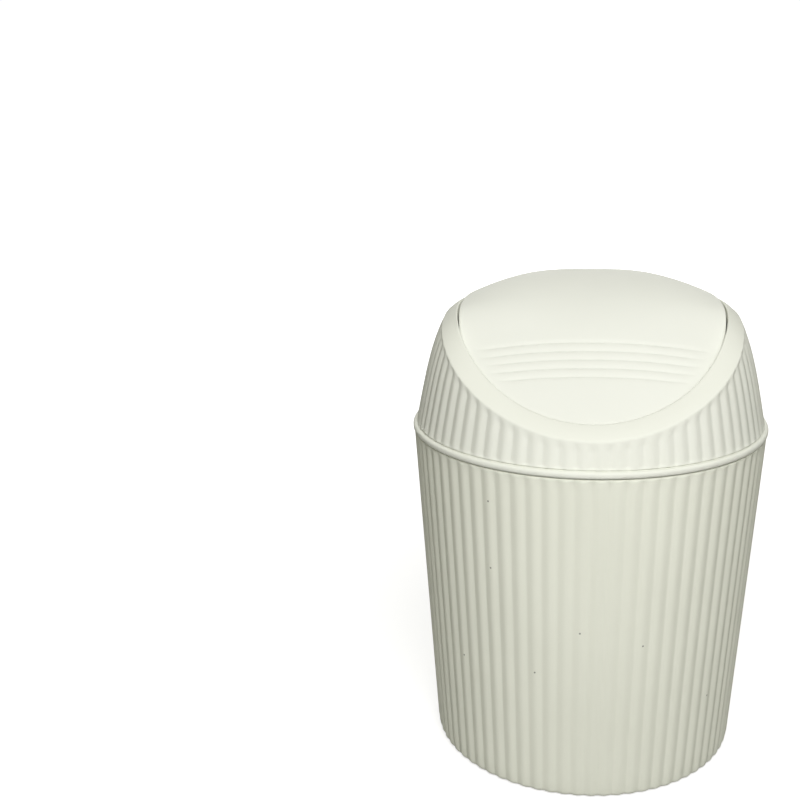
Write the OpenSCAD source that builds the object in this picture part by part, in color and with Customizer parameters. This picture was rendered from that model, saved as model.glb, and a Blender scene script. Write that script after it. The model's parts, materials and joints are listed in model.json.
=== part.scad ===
// Countertop bin with a reeded bucket, a lift-off domed cover and a swing lid.
// Units are millimetres. The bin stands on z = 0, its axis is Z and its front faces -Y.

/* [Bucket] */
// Height of the bucket, from the table to its rim
bucket_h = 135; // [100:0.5:180]
// Radius over the reeds at the rim
bucket_top_r = 70.7; // [64:0.5:90]
// Radius over the reeds at the foot
bucket_base_r = 62.5; // [50:0.5:76]
// Wall thickness behind the reeds
bucket_wall = 1.8; // [1.2:0.1:3]
// Thickness of the bucket's floor
floor_t = 2.2; // [1.5:0.1:5]
// Rounding between the wall and the foot
foot_round = 2.6; // [1:0.1:5]
// Width of the flat foot ring the bucket stands on
foot_ring_w = 7; // [4:0.5:12]
// Depth of the hollow under the floor
foot_recess = 0.8; // [0.3:0.1:1.2]

/* [Reeds] */
// Number of reeds round the bucket and the cover
reed_count = 72; // [48:12:84]
// Height of a reed over the grooves beside it
reed_h = 0.8; // [0.4:0.1:1.2]
// Length over which a reed runs out at its upper end
reed_fade = 2.4; // [1:0.1:4]

/* [Cover] */
// Height of the collar bead that sits over the bucket's rim
collar_h = 2.5; // [2:0.1:6]
// How far the collar stands out beyond the bucket
collar_proud = 0.5; // [0.3:0.1:2.5]
// Ledge between the collar's edge and the dome's reeds
collar_ledge = 1.4; // [1:0.1:4]
// Length of the plug that reaches into the bucket
plug_h = 8; // [4:0.5:16]
// Wall thickness of the plug
plug_t = 1.8; // [1.4:0.1:3]
// Wall thickness of the cover behind the reeds
cover_wall = 1.8; // [1.4:0.1:2.6]
// Height of the reeded wall at the back of the dome
dome_h = 45.3; // [38:0.1:60]
// How far the dome's wall leans in over its height
dome_lean = 9.1; // [5:0.1:12]
// Extra rounding of the dome towards its top
dome_crown = 4.4; // [2:0.1:6]
// Slope of the cut front that ends the reeds, from level
front_slope = 32.9; // [26:0.1:36]
// Where the high middle turns into the sloping front, as a Y position
slope_y = -14.5; // [-20:0.5:-6]
// Length over which the high middle blends into the slope
slope_blend = 14.8; // [8:0.1:18]
// How far the dome's top falls again from the axis to the back
rear_fall = 6.5; // [0:0.1:7]

/* [Mouth] */
// Width of the smooth band between the reeds and the mouth, at the front
band_front = 7.6; // [5:0.1:11]
// Width of that band at each side
band_side = 5.6; // [4:0.1:9]
// Width of that band at the back
band_back = 5.6; // [5:0.1:9]
// Height of the mouth's edge over the reed ends, beside and behind the axis
lip_rise = 2.9; // [1:0.1:4]
// Height of the mouth's edge over the reed ends, at the front
front_rise = 4; // [2.5:0.1:6]
// Slope of the mouth's edge at the front, from level
edge_slope = 34; // [29:0.1:38]
// Length over which the mouth's high edge blends into its slope
edge_blend = 8; // [5:0.1:12]
// Fullness of the band's rounded section
band_bulge = 0.9; // [0.3:0.1:1.8]
// How far the mouth's widest line lies in front of the axis
mouth_forward = 5; // [3:0.5:10]
// Squareness of the mouth's outline behind its widest line: 2 is an ellipse
mouth_power = 2.2; // [2:0.05:2.25]
// Wall thickness of the flange that hangs from the mouth's edge
flange_t = 1.6; // [1.2:0.1:2.2]
// Depth of the flange beside the pivots
flange_h = 17; // [15:0.5:20]
// Least depth of the flange, at the front and the back
flange_min_h = 4; // [3:0.1:6]
// Slope of the flange's lower edge, from level
flange_slope = 16; // [8:0.5:22]

/* [Swing lid] */
// Running gap between the lid and the mouth
lid_gap = 0.85; // [0.5:0.05:1.5]
// Thickness of the lid
lid_t = 1.8; // [1.4:0.1:2.6]
// Depth of the stiffening lip along the lid's front edge
lid_lip = 2.6; // [2.4:0.1:4]
// How far the skirt round the back of the lid reaches below the pivot line
skirt_drop = 8.5; // [6:0.1:9]
// Wall thickness of the skirt
skirt_t = 1.6; // [1.2:0.1:2.4]
// Depth of the lid's front tip below the mouth's edge
nose_drop = 3; // [2:0.1:4]
// Length of the sloping push pad in plan, up to the first grip groove
pad_len = 37.6; // [32:0.1:40]
// Steepness of the pad, from level
pad_slope = 34; // [30:0.1:36]
// Height of the lid's rounded back over the highest part of the mouth's edge
cap_rise = 7.4; // [6:0.1:9]
// Y position of the highest line of the lid
cap_y = 26; // [22:0.5:32]
// Height of the lid's back edge over the mouth's edge
back_rise = 1.2; // [0.5:0.1:3]
// Fullness of the lid behind its highest line
back_power = 2.8; // [2:0.1:4]
// How far the lid's sides fall off from its middle line, on the pad
side_fall = 5.4; // [4:0.1:8]
// How far they fall off at the back
back_side_fall = 14; // [8:0.5:16]
// Number of grip grooves across the lid
groove_count = 5; // [3:1:6]
// Pitch of the grip grooves in plan
groove_pitch = 3.6; // [3:0.1:4.2]
// Depth of a grip groove below the reeds between the grooves
groove_d = 0.5; // [0.2:0.05:0.8]

/* [Pivots and stops] */
// Radius of the lid's pivot pins
pin_r = 3; // [2:0.1:4]
// Radial clearance of a pin in its hole
pin_clear = 0.06; // [0.03:0.01:0.1]
// Distance of the pivot line below the mouth's edge
pivot_drop = 14.6; // [13:0.1:16]
// Length of a pin beyond the skirt
pin_len = 5.4; // [4:0.1:7]
// Wall round a pivot hole
boss_wall = 3; // [2:0.1:4]
// Length of a pivot boss outside the flange
boss_len = 3.2; // [2:0.1:5]
// Width of a stop rib under the lid's skirt
stop_w = 2.4; // [1.6:0.1:4]
// Angle of the stop ribs, each way from the middle of the back
stop_angle = 26; // [15:1:40]

/* [Hidden] */
// Gap between faces of separate pieces that nearly touch at rest
rest_gap = 0.3;
// Small overlap that joins solids of one piece
weld = 0.5;
// Offset that keeps a comparison clear of rounding
tiny = 0.01;
// Facets of large turned shapes, of pivots and of the collar's bead
turned_n = 144;
pivot_n = 64;
bead_n = 32;
shell_colour = [0.93, 0.93, 0.88];
lid_colour = [0.95, 0.95, 0.92];

// Points in a fine ring for each reed: one in the groove and three over the reed
reed_steps = 4;
// Height over which the reeds soften at the bucket's rim, and the share of them left there
rim_soft_h = 1;
rim_share = 0.3;
coarse_n = reed_count;
fine_n = reed_count * reed_steps;

// Heights and radii that follow from the sizes above
rim_z = bucket_h;
collar_z = rim_z + rest_gap;
dome_z = collar_z + collar_h;
dome_top_z = dome_z + dome_h;
collar_r = bucket_top_r + collar_proud;
dome_base_r = collar_r - collar_ledge;
crown_power = 4;
slope_k = tan(front_slope);

// Radius over the bucket's reeds at a height
function bucket_r(z) = bucket_base_r + (bucket_top_r - bucket_base_r) * z / bucket_h;
// Radius of the bucket's inside at a height
function bucket_in_r(z) = bucket_r(z) - reed_h - bucket_wall;
// Share of a reed's height at one step across it
function reed_share(i) = let (p = (i % reed_steps) / reed_steps) 4 * p * (1 - p);

// Radius over the dome's reeds at a height
function dome_r(z) =
    let (t = max(0, (z - dome_z) / dome_h))
    dome_base_r - dome_lean * t - dome_crown * pow(t, crown_power);
// Fall of the dome's top behind the axis
dome_top_r = dome_base_r - dome_lean - dome_crown;
function rear_drop(y) = rear_fall * pow(max(0, y) / dome_top_r, 2);
// Height of the S-shaped cut that ends the reeds, at a Y position
function cut_z(y) =
    dome_top_z - slope_k * slope_blend * ln(1 + exp((slope_y - y) / slope_blend)) - rear_drop(y);
// Height where a reed ends, at an angle from the front, found by stepping towards the cut
function reed_end_z(a, z = -1, n = 6) =
    let (now = z < 0 ? dome_top_z : z)
    n == 0 ? now : reed_end_z(a, cut_z(-dome_r(now) * cos(a)), n - 1);
function reed_end_r(a) = dome_r(reed_end_z(a));

// The mouth: a half ellipse in front of its widest line and a fuller one behind it
mouth_y = -mouth_forward;
mouth_a = reed_end_r(90) - band_side;
mouth_front = reed_end_r(0) - band_front - mouth_forward;
mouth_back = reed_end_r(180) - band_back + mouth_forward;
lip_z = dome_top_z + lip_rise;
edge_k = tan(edge_slope);
edge_bend_y = mouth_y - mouth_front + (lip_z - reed_end_z(0) - front_rise) / edge_k;
// Point of the mouth's outline at an angle from the front, grown by g
function mouth_pt(a, g = 0) =
    let (n = cos(a) > 0 ? 1 : 2 / mouth_power, b = cos(a) > 0 ? mouth_front : mouth_back)
    [
        (mouth_a + g) * sign(sin(a)) * pow(abs(sin(a)), n),
        mouth_y - (b + g) * sign(cos(a)) * pow(abs(cos(a)), n)
    ];
// Height of the mouth's edge at a Y position
function edge_z(y) =
    lip_z - edge_k * edge_blend * ln(1 + exp((edge_bend_y - y) / edge_blend)) - rear_drop(y);

// The pivot line runs along X over the bin's axis
pivot_z = edge_z(0) - pivot_drop;
flange_mid_z = edge_z(0) - flange_h;
skirt_low_z = pivot_z - skirt_drop;
function flange_z(y) = min(flange_mid_z + y * tan(flange_slope), edge_z(y) - flange_min_h);

// A closed ring of points, each given by an angle from the front, a radius and a height
function polar(a, r, z) = [r * sin(a), -r * cos(a), z];
function coarse_angle(i) = 360 * i / coarse_n;
function fine_angle(i) = 360 * i / fine_n;

// Faces between ring a and ring b, which start at points sa and sb and hold na and nb points
function band_faces(sa, na, sb, nb) =
    na == nb ? same_faces(sa, sb, na) :
    na > nb ? narrow_faces(sa, sb, nb) : widen_faces(sa, sb, na);
function same_faces(sa, sb, n) = [
    for (i = [0 : n - 1]) let (j = (i + 1) % n) each [
        [sa + i, sb + i, sb + j],
        [sa + i, sb + j, sa + j]
    ]
];
function narrow_faces(sa, sb, n) = [
    for (i = [0 : n - 1]) let (
        j = (i + 1) % n,
        f = sa + i * reed_steps,
        g = sa + j * reed_steps
    ) each [
        [f, sb + i, f + 1],
        [f + 1, sb + i, f + 2],
        [f + 2, sb + i, sb + j],
        [f + 2, sb + j, f + 3],
        [f + 3, sb + j, g]
    ]
];
function widen_faces(sa, sb, n) = [
    for (i = [0 : n - 1]) let (
        j = (i + 1) % n,
        f = sb + i * reed_steps,
        g = sb + j * reed_steps
    ) each [
        [sa + i, f, f + 1],
        [sa + i, f + 1, f + 2],
        [sa + i, f + 2, sa + j],
        [sa + j, f + 2, f + 3],
        [sa + j, f + 3, g]
    ]
];
// Index of the first point of each ring in the joined list
function ring_starts(rings, i = 0, at = 0) =
    i == len(rings) ? [] : concat([at], ring_starts(rings, i + 1, at + len(rings[i])));
function joined(rings) = [for (ring = rings) each ring];

// A body skinned over rings that run up the outside, over the top and down the inside
module ring_body(rings) {
    starts = ring_starts(rings);
    count = len(rings);
    faces = [
        for (i = [0 : count - 1]) let (j = (i + 1) % count)
            each band_faces(starts[i], len(rings[i]), starts[j], len(rings[j]))
    ];
    polyhedron(points = joined(rings), faces = faces, convexity = 8);
}

// A solid skinned over rings from bottom to top, with flat ends
module stacked_body(rings) {
    starts = ring_starts(rings);
    count = len(rings);
    last = starts[count - 1];
    walls = [
        for (i = [0 : count - 2])
            each band_faces(starts[i], len(rings[i]), starts[i + 1], len(rings[i + 1]))
    ];
    bottom = [for (i = [0 : len(rings[0]) - 1]) i];
    top = [for (i = [len(rings[count - 1]) - 1 : -1 : 0]) last + i];
    polyhedron(points = joined(rings), faces = concat(walls, [bottom], [top]), convexity = 4);
}

// Bucket: a tapered pail with reeds down to a rounded foot
function bucket_ring(z, inset, share) = [
    for (i = [0 : fine_n - 1])
        polar(fine_angle(i), bucket_r(z) - inset - reed_h * (1 - share * reed_share(i)), z)
];
module bucket() {
    foot_step = foot_round * (1 - cos(45));
    recess_r = bucket_base_r - foot_round - foot_ring_w;
    over = 1;
    color(shell_colour)
    difference() {
        stacked_body([
            bucket_ring(0, foot_round, 1),
            bucket_ring(foot_step, foot_step, 1),
            bucket_ring(foot_round, 0, 1),
            bucket_ring(rim_z - rim_soft_h, 0, 1),
            bucket_ring(rim_z, 0, rim_share)
        ]);
        rotate_extrude($fn = turned_n)
            polygon([
                [0, floor_t],
                [bucket_in_r(floor_t) - foot_round, floor_t],
                [bucket_in_r(floor_t + foot_round), floor_t + foot_round],
                [bucket_in_r(rim_z + over), rim_z + over],
                [0, rim_z + over]
            ]);
        translate([0, 0, -over])
            cylinder(r = recess_r, h = over + foot_recess, $fn = turned_n);
    }
}

// Heights over the collar where the dome's plain foot ends and where its reeds have their full height
plain_foot_h = 0.2;
reed_foot_h = 1.4;
// Rings of the cover's skin: shares of the way up the reeds, across the band and up the inner wall
wall_shares = [0, 0.36, 0.66, 0.86, 1];
band_shares = [0, 0.12, 0.35, 0.7];
inner_shares = [1, 0.86, 0.6, 0.3];

// Reeded wall of the cover, its smooth band, the mouth and the flange inside it
function wall_ring(z_of, share, inset = 0) = [
    for (i = [0 : fine_n - 1]) let (a = fine_angle(i), z = z_of[i])
        polar(a, dome_r(z) - reed_h * (1 - share * reed_share(i)) - inset, z)
];
function inner_ring(level) = [
    for (i = [0 : coarse_n - 1]) let (
        a = coarse_angle(i),
        z = dome_z - weld + (reed_end_z(a) - cover_wall - dome_z + weld) * level
    )
        polar(a, dome_r(z) - reed_h - cover_wall, z)
];
// A ring on the band, part of the way from the reed ends to the mouth's edge
function band_ring(s) = [
    for (i = [0 : coarse_n - 1]) let (
        a = coarse_angle(i),
        end_z = reed_end_z(a),
        r = reed_end_r(a) - reed_h,
        outer = [r * sin(a), -r * cos(a)],
        inner = mouth_pt(a),
        p = outer + (inner - outer) * s,
        z = end_z + (edge_z(inner[1]) - end_z) * s + 4 * band_bulge * s * (1 - s)
    )
        [p[0], p[1], z]
];
// A ring that follows the mouth's outline, grown by g, at a height or hung below the mouth's edge
function mouth_ring(g, drop) = [
    for (i = [0 : coarse_n - 1]) let (a = coarse_angle(i), p = mouth_pt(a, g), q = mouth_pt(a))
        [p[0], p[1], drop < 0 ? flange_z(q[1]) : edge_z(q[1]) - drop]
];
module cover_shell() {
    ends = [for (i = [0 : fine_n - 1]) reed_end_z(fine_angle(i))];
    foot = dome_z + reed_foot_h;
    function level(t) = [for (z = ends) foot + (z - reed_fade - foot) * t];
    function plain(z, inset) = [
        for (i = [0 : coarse_n - 1]) polar(coarse_angle(i), dome_r(z) - inset, z)
    ];
    ring_body([
        plain(dome_z - weld, reed_h),
        plain(dome_z + plain_foot_h, reed_h),
        each [for (t = wall_shares) wall_ring(level(t), 1)],
        each [for (t = band_shares) band_ring(t)],
        mouth_ring(0, 0),
        mouth_ring(0, -1),
        mouth_ring(flange_t, -1),
        mouth_ring(flange_t, cover_wall),
        each [for (t = inner_shares) inner_ring(t)],
        plain(dome_z - weld, reed_h + cover_wall)
    ]);
}

// Radius of the collar's rounded edges as a share of its height, and the height of the plug's lead-in
bead_share = 0.4;
plug_lead_h = 1;

// Collar bead over the rim, with the plug that centres the cover in the bucket
module collar_and_plug() {
    plug_z = rim_z - plug_h;
    plug_out_r = bucket_in_r(plug_z) - rest_gap;
    plug_in_r = plug_out_r - plug_t;
    bead = collar_h * bead_share;
    rotate_extrude($fn = turned_n) {
        polygon([
            [plug_in_r, plug_z],
            [plug_out_r - plug_t / 3, plug_z],
            [plug_out_r, plug_z + plug_lead_h],
            [bucket_in_r(rim_z) - rest_gap, collar_z],
            [collar_r - bead, collar_z],
            [collar_r - bead, dome_z],
            [plug_in_r, dome_z]
        ]);
        translate([collar_r - bead, collar_z + bead])
            circle(r = bead, $fn = bead_n);
        translate([collar_r - bead, dome_z - bead])
            circle(r = bead, $fn = bead_n);
        translate([collar_r - bead, collar_z + bead])
            square([bead, collar_h - 2 * bead]);
    }
}

// How far a stop rib reaches in past the skirt, its height at the tip, and its extra height at the wall
stop_reach = 1.5;
stop_tip_h = 2;
stop_root_h = 3;

// One rib on the dome's inner wall that the lid's skirt comes to rest on
module stop_rib() {
    top_z = skirt_low_z - rest_gap;
    sunk = cover_wall / 2;
    wall_r = dome_r(top_z) - reed_h - cover_wall;
    tip_r = mouth_pt(180)[1] - skirt_t - stop_reach;
    rib_h = wall_r - tip_r + stop_root_h;
    rotate([0, 0, 90])
        translate([0, stop_w / 2, 0])
            rotate([90, 0, 0])
                linear_extrude(height = stop_w)
                    polygon([
                        [tip_r, top_z],
                        [wall_r + sunk, top_z],
                        [dome_r(top_z - rib_h) - reed_h - cover_wall + sunk, top_z - rib_h],
                        [tip_r, top_z - stop_tip_h]
                    ]);
}

// Where the lid's skirt, the flange and a boss lie along X at the pivot line
pivot_x = mouth_a * pow(1 - pow(mouth_forward / mouth_back, mouth_power), 1 / mouth_power);
skirt_x = pivot_x - lid_gap;
boss_x = pivot_x + boss_len + flange_t;
// How far a boss starts inside the flange's wall, and how far its drill runs past both ends
boss_set_in = 0.15;
drill_over = 3;
// Sizes of the thicker root that joins a pin to the skirt from inside
root_wall = 2;
root_reach = 3.4;
root_set_in = 0.4;
pin_reach = 2.5;

module x_cylinder(r, from, to) {
    translate([from, 0, pivot_z])
        rotate([0, 90, 0])
            cylinder(r = r, h = to - from, $fn = pivot_n);
}

module dome_cover() {
    color(shell_colour)
    difference() {
        union() {
            cover_shell();
            collar_and_plug();
            for (side = [-1, 1])
                rotate([0, 0, side * stop_angle])
                    stop_rib();
            for (side = [0, 1])
                mirror([side, 0, 0])
                    x_cylinder(pin_r + boss_wall, pivot_x + boss_set_in, boss_x);
        }
        for (side = [0, 1])
            mirror([side, 0, 0])
                x_cylinder(pin_r + pin_clear, pivot_x - drill_over, boss_x + drill_over);
    }
}

// The lid's outline is the mouth's, less the running gap
lid_a = mouth_a - lid_gap;
function lid_b(y) = (y < mouth_y ? mouth_front : mouth_back) - lid_gap;
function lid_half_w(y) =
    let (n = y < mouth_y ? 2 : mouth_power)
    lid_a * pow(max(0, 1 - pow(abs(y - mouth_y) / lid_b(y), n)), 1 / n);
lid_front_y = mouth_y - mouth_front + lid_gap;
lid_back_y = mouth_y + mouth_back - lid_gap;

// Height of the lid along its middle: a straight pad, then a round back that leaves it smoothly
pad_k = tan(pad_slope);
pad_end_y = lid_front_y + pad_len;
pad_end_z = edge_z(lid_front_y) - nose_drop + pad_len * pad_k;
cap_top_z = lip_z + cap_rise;
cap_power = pad_k * (cap_y - pad_end_y) / (cap_top_z - pad_end_z);
back_fall = cap_top_z - edge_z(lid_back_y) - back_rise;
function middle_z(y) =
    y < pad_end_y ? pad_end_z - (pad_end_y - y) * pad_k :
    y < cap_y ? cap_top_z - (cap_top_z - pad_end_z) * pow((cap_y - y) / (cap_y - pad_end_y), cap_power) :
    cap_top_z - back_fall * pow((y - cap_y) / (lid_back_y - cap_y), back_power);
// Height of the lid's upper face, without its grooves
side_power = 2.2;
function fall(y) =
    side_fall + (back_side_fall - side_fall) * max(0, y - pad_end_y) / (lid_back_y - pad_end_y);
function lid_z(x, y) = middle_z(y) - fall(y) * pow(abs(x) / lid_a, side_power);
// Depth of the grip grooves at a Y position, with a rounded reed between two grooves
groove_back = pad_end_y;
groove_front = groove_back - (groove_count - 1) * groove_pitch;
function groove_at(y) =
    let (u = (y - groove_front) / groove_pitch, v = u - floor(u))
    u <= -0.5 || u >= groove_count - 0.5 ? 0 : groove_d * pow(2 * v - 1, 2);

// Rows of the lid from front to back: the nose, the grooves and the round back
nose_angles = [4, 9, 15, 22, 30, 39];
back_angles = [9, 18, 27, 36, 45, 54, 62, 69, 75, 80, 85];
row_gap = 0.5;
nose_rows = [for (a = nose_angles) mouth_y - (mouth_front - lid_gap) * cos(a)];
groove_rows = [
    for (i = [-1 : 2 * groove_count - 1]) groove_front + i * groove_pitch / 2
];
cap_steps = 4;
cap_rows = [
    for (i = [1 : cap_steps])
        let (from = groove_back + groove_pitch / 2) from + (mouth_y - from) * i / cap_steps
];
back_rows = [for (a = back_angles) mouth_y + (mouth_back - lid_gap) * sin(a)];
lid_rows = concat(
    [for (y = nose_rows) if (y < groove_front - groove_pitch / 2 - row_gap) y],
    groove_rows,
    cap_rows,
    back_rows
);
row_n = len(lid_rows);
col_n = 17;
function col_share(j) = sin(90 * (2 * j / (col_n - 1) - 1));

// Upper face, and the lower face drawn in by the skirt's thickness
lid_top = [
    for (y = lid_rows) for (j = [0 : col_n - 1])
        let (x = lid_half_w(y) * col_share(j))
        [x, y, lid_z(x, y) - groove_at(y)]
];
lid_under = [
    for (p = lid_top) let (
        b = lid_b(p[1]),
        x = p[0] * (lid_a - skirt_t) / lid_a,
        y = mouth_y + (p[1] - mouth_y) * (b - skirt_t) / b
    )
        [x, y, lid_z(x, y) - lid_t]
];
// The rim of the grid as one loop of indices, anticlockwise from above
lid_loop = concat(
    [for (j = [0 : col_n - 1]) j],
    [for (i = [1 : row_n - 1]) i * col_n + col_n - 1],
    [for (j = [col_n - 2 : -1 : 0]) (row_n - 1) * col_n + j],
    [for (i = [row_n - 2 : -1 : 1]) i * col_n]
);
// Lower edge of the lid's side wall: a low lip in front of the pivots, the skirt behind them
function wall_low_z(p) = p[1] < mouth_y - tiny ? lid_z(p[0], p[1]) - lid_lip : skirt_low_z;
lid_low_out = [for (k = lid_loop) let (p = lid_top[k]) [p[0], p[1], wall_low_z(p)]];
lid_low_in = [
    for (k = lid_loop) let (p = lid_under[k]) [p[0], p[1], wall_low_z(lid_top[k])]
];

module lid_shell() {
    grid_n = row_n * col_n;
    loop_n = len(lid_loop);
    out_0 = 2 * grid_n;
    in_0 = out_0 + loop_n;
    top_faces = [
        for (i = [0 : row_n - 2]) for (j = [0 : col_n - 2]) let (k = i * col_n + j) each [
            [k, k + col_n, k + col_n + 1],
            [k, k + col_n + 1, k + 1]
        ]
    ];
    under_faces = [for (f = top_faces) [f[2] + grid_n, f[1] + grid_n, f[0] + grid_n]];
    edge_faces = [
        for (i = [0 : loop_n - 1]) let (j = (i + 1) % loop_n, a = lid_loop[i], b = lid_loop[j]) each [
            [a, b, out_0 + j],
            [a, out_0 + j, out_0 + i],
            [out_0 + i, out_0 + j, in_0 + j],
            [out_0 + i, in_0 + j, in_0 + i],
            [in_0 + i, in_0 + j, b + grid_n],
            [in_0 + i, b + grid_n, a + grid_n]
        ]
    ];
    polyhedron(
        points = concat(lid_top, lid_under, lid_low_out, lid_low_in),
        faces = concat(top_faces, under_faces, edge_faces),
        convexity = 8
    );
}

// Swing lid: a crowned shell with grip grooves, a skirt and two pivot pins
module swing_lid() {
    color(lid_colour) {
        lid_shell();
        for (side = [0, 1])
            mirror([side, 0, 0]) {
                x_cylinder(pin_r, skirt_x - pin_reach, skirt_x + pin_len);
                x_cylinder(pin_r + root_wall, skirt_x - root_reach, skirt_x - root_set_in);
            }
    }
}

bucket();
dome_cover();
swing_lid();
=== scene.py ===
"""Finished surfaces, materials, light and camera for a countertop bin with a swing lid.

The shapes follow the same rules as the part's solids. They are worked out in millimetres and
become metres when a mesh is made. The bin stands on z = 0 and its front faces -Y.
"""

import json
import math

import bpy
import numpy as np
from mathutils import Matrix, Vector


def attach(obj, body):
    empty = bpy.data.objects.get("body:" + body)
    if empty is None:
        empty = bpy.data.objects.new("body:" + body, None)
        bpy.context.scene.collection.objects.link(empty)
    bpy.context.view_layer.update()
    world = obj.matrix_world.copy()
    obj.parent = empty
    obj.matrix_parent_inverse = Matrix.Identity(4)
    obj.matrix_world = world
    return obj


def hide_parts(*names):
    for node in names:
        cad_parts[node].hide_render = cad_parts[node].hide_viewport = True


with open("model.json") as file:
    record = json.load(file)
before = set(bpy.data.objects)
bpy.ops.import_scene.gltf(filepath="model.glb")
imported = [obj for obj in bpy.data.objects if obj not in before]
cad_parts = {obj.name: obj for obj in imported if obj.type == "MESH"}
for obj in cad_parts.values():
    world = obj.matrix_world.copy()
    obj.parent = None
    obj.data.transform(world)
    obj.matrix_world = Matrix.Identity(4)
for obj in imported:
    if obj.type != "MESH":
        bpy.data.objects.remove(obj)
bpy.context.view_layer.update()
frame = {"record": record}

MM = 0.001

# Bucket, in millimetres
BUCKET_H = 135.0
BUCKET_TOP_R = 70.7
BUCKET_BASE_R = 62.5
BUCKET_WALL = 1.8
FLOOR_T = 2.2
FOOT_ROUND = 2.6
FOOT_RING_W = 7.0
FOOT_RECESS = 0.8

# Reeds of the bucket and the dome. REED_H is the layer of wall that they are cut into.
REED_COUNT = 72
REED_H = 0.8
REED_DEPTH = 0.56
REED_FULLNESS = 2.0
NOTCH_SOFTNESS = 0.6
REED_FADE = 1.8
REED_FRONT_FADE = 4.4

# Cover: plug, collar bead and dome, and the slanted cut that ends the dome's reeds.
# REST_GAP is the play between pieces that rest on each other.
REST_GAP = 0.3
COLLAR_H = 2.5
COLLAR_PROUD = 0.5
COLLAR_LEDGE = 1.4
PLUG_H = 8.0
PLUG_T = 1.8
COVER_WALL = 1.8
DOME_H = 45.3
DOME_LEAN = 9.1
DOME_CROWN = 4.4
CROWN_POWER = 4
DOME_FOOT_H = 1.4
FRONT_SLOPE = 32.9
SLOPE_Y = -14.5
SLOPE_BLEND = 14.8
REAR_FALL = 6.5

# Smooth band round the mouth, the mouth's edge, and the flange that hangs from it
BAND_FRONT = 7.6
BAND_SIDE = 5.6
BAND_BACK = 5.6
BAND_STEP = 0.2
BAND_BULGE = 0.3
LIP_RISE = 2.0
LIP_ROUND = 0.5
FRONT_RISE = 4.0
EDGE_SLOPE = 34.0
EDGE_BLEND = 8.0
MOUTH_FORWARD = 5.0
MOUTH_POWER = 2.2
FLANGE_T = 1.6
FLANGE_H = 16.1
FLANGE_MIN_H = 4.0
FLANGE_SLOPE = 16.0

# Swing lid: flat pad in front, cap over the middle, back that falls to the rear edge
LID_GAP = 0.5
LID_T = 1.8
LID_LIP = 2.6
LID_ROUND = 0.8
SKIRT_DROP = 8.5
SKIRT_T = 1.6
SKIRT_STEP = 2.5
NOSE_DROP = 0.9
PAD_LEN = 37.6
PAD_SLOPE = 34.0
CAP_RISE = 8.3
CAP_Y = 26.0
BACK_RISE = 1.6
BACK_POWER = 2.8

# Fall of the lid from its middle line to its sides, and its rise to the mouth's edge at the back
SIDE_FALL = 5.4
BACK_SIDE_FALL = 14.0
SIDE_POWER = 2.2
BACK_SIDE_POWER = 3.4
BACK_SIDE_RUN = 20.0
SIDE_RISE = 0.3
BACK_SIDE_RISE = 1.4
SIDE_LIFT_FROM = -26.0
SIDE_LIFT_RUN = 24.0

# Grip grooves across the lid
GROOVE_COUNT = 5
GROOVE_PITCH = 3.6
GROOVE_D = 0.45
GROOVE_END = 2.5
GROOVE_FADE = 9.0

# Pivot pins of the lid, bosses and stop ribs of the cover, round the hinge line that the record gives
HINGES = {joint["name"]: joint for joint in frame["record"]["behaviour"]["joints"]}
PIVOT_Z = HINGES["lid_swing"]["pos_m"][2] / MM
PIN_R = 3.0
PIN_CLEAR = 0.06
PIN_LEN = 5.4
PIN_BEVEL = 0.5
PIN_ROOT_LEN = 3.4
PIN_ROOT_WALL = 2.0
PIN_ROOT_BEVEL = 0.4
PIN_ROOT_SINK = 0.4
BOSS_WALL = 3.0
BOSS_LEN = 3.2
BOSS_BEVEL = 0.4
BORE_BEVEL = 0.3
STOP_W = 2.4
STOP_ANGLE = 26.0
STOP_REACH = 1.5
STOP_SINK = 0.9
STOP_NOSE_H = 2.0
STOP_EXTRA_H = 3.0

# Small bevel on the lower edges of plug, flange and skirt
EASE = 0.25

# Fineness of the meshes. AXIS_R is the small disc that closes a shell on its axis.
STEPS_PER_REED = 12
RING_N = REED_COUNT * STEPS_PER_REED
BUCKET_ROWS = 34
BUCKET_IN_ROWS = 12
DOME_ROWS = 22
LID_COLUMNS = 120
PAD_ROWS = 200
GROOVE_STEPS = 12
BACK_ROWS = 130
PIN_SIDES = 64
AXIS_R = 0.02
CORNER_ANGLE = 46.0
FITTING_CORNER_ANGLE = 30.0

# Heights and radii that follow from the sizes
RIM_Z = BUCKET_H
COLLAR_Z = RIM_Z + REST_GAP
DOME_Z = COLLAR_Z + COLLAR_H
DOME_TOP_Z = DOME_Z + DOME_H
COLLAR_R = BUCKET_TOP_R + COLLAR_PROUD
DOME_BASE_R = COLLAR_R - COLLAR_LEDGE
DOME_TOP_R = DOME_BASE_R - DOME_LEAN - DOME_CROWN
LIP_Z = DOME_TOP_Z + LIP_RISE
SKIRT_LOW_Z = PIVOT_Z - SKIRT_DROP

RING_ANGLES = np.linspace(0, 2 * math.pi, RING_N, endpoint=False)


def tan_deg(angle):
    return math.tan(math.radians(angle))


def soft_ramp(x):
    """Zero far below nothing, x far above it, and a smooth bend between."""
    return np.maximum(x, 0) + np.log1p(np.exp(-np.abs(x)))


def smooth_step(x):
    t = np.clip(x, 0, 1)
    return t * t * (3 - 2 * t)


def bucket_r(z):
    return BUCKET_BASE_R + (BUCKET_TOP_R - BUCKET_BASE_R) * np.asarray(z, float) / BUCKET_H


def bucket_in_r(z):
    return bucket_r(z) - REED_H - BUCKET_WALL


def dome_r(z):
    t = np.maximum(0, (np.asarray(z, float) - DOME_Z) / DOME_H)
    return DOME_BASE_R - DOME_LEAN * t - DOME_CROWN * t**CROWN_POWER


def dome_in_r(z):
    return dome_r(z) - REED_H - COVER_WALL


def rear_drop(y):
    return REAR_FALL * (np.maximum(0, y) / DOME_TOP_R) ** 2


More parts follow.
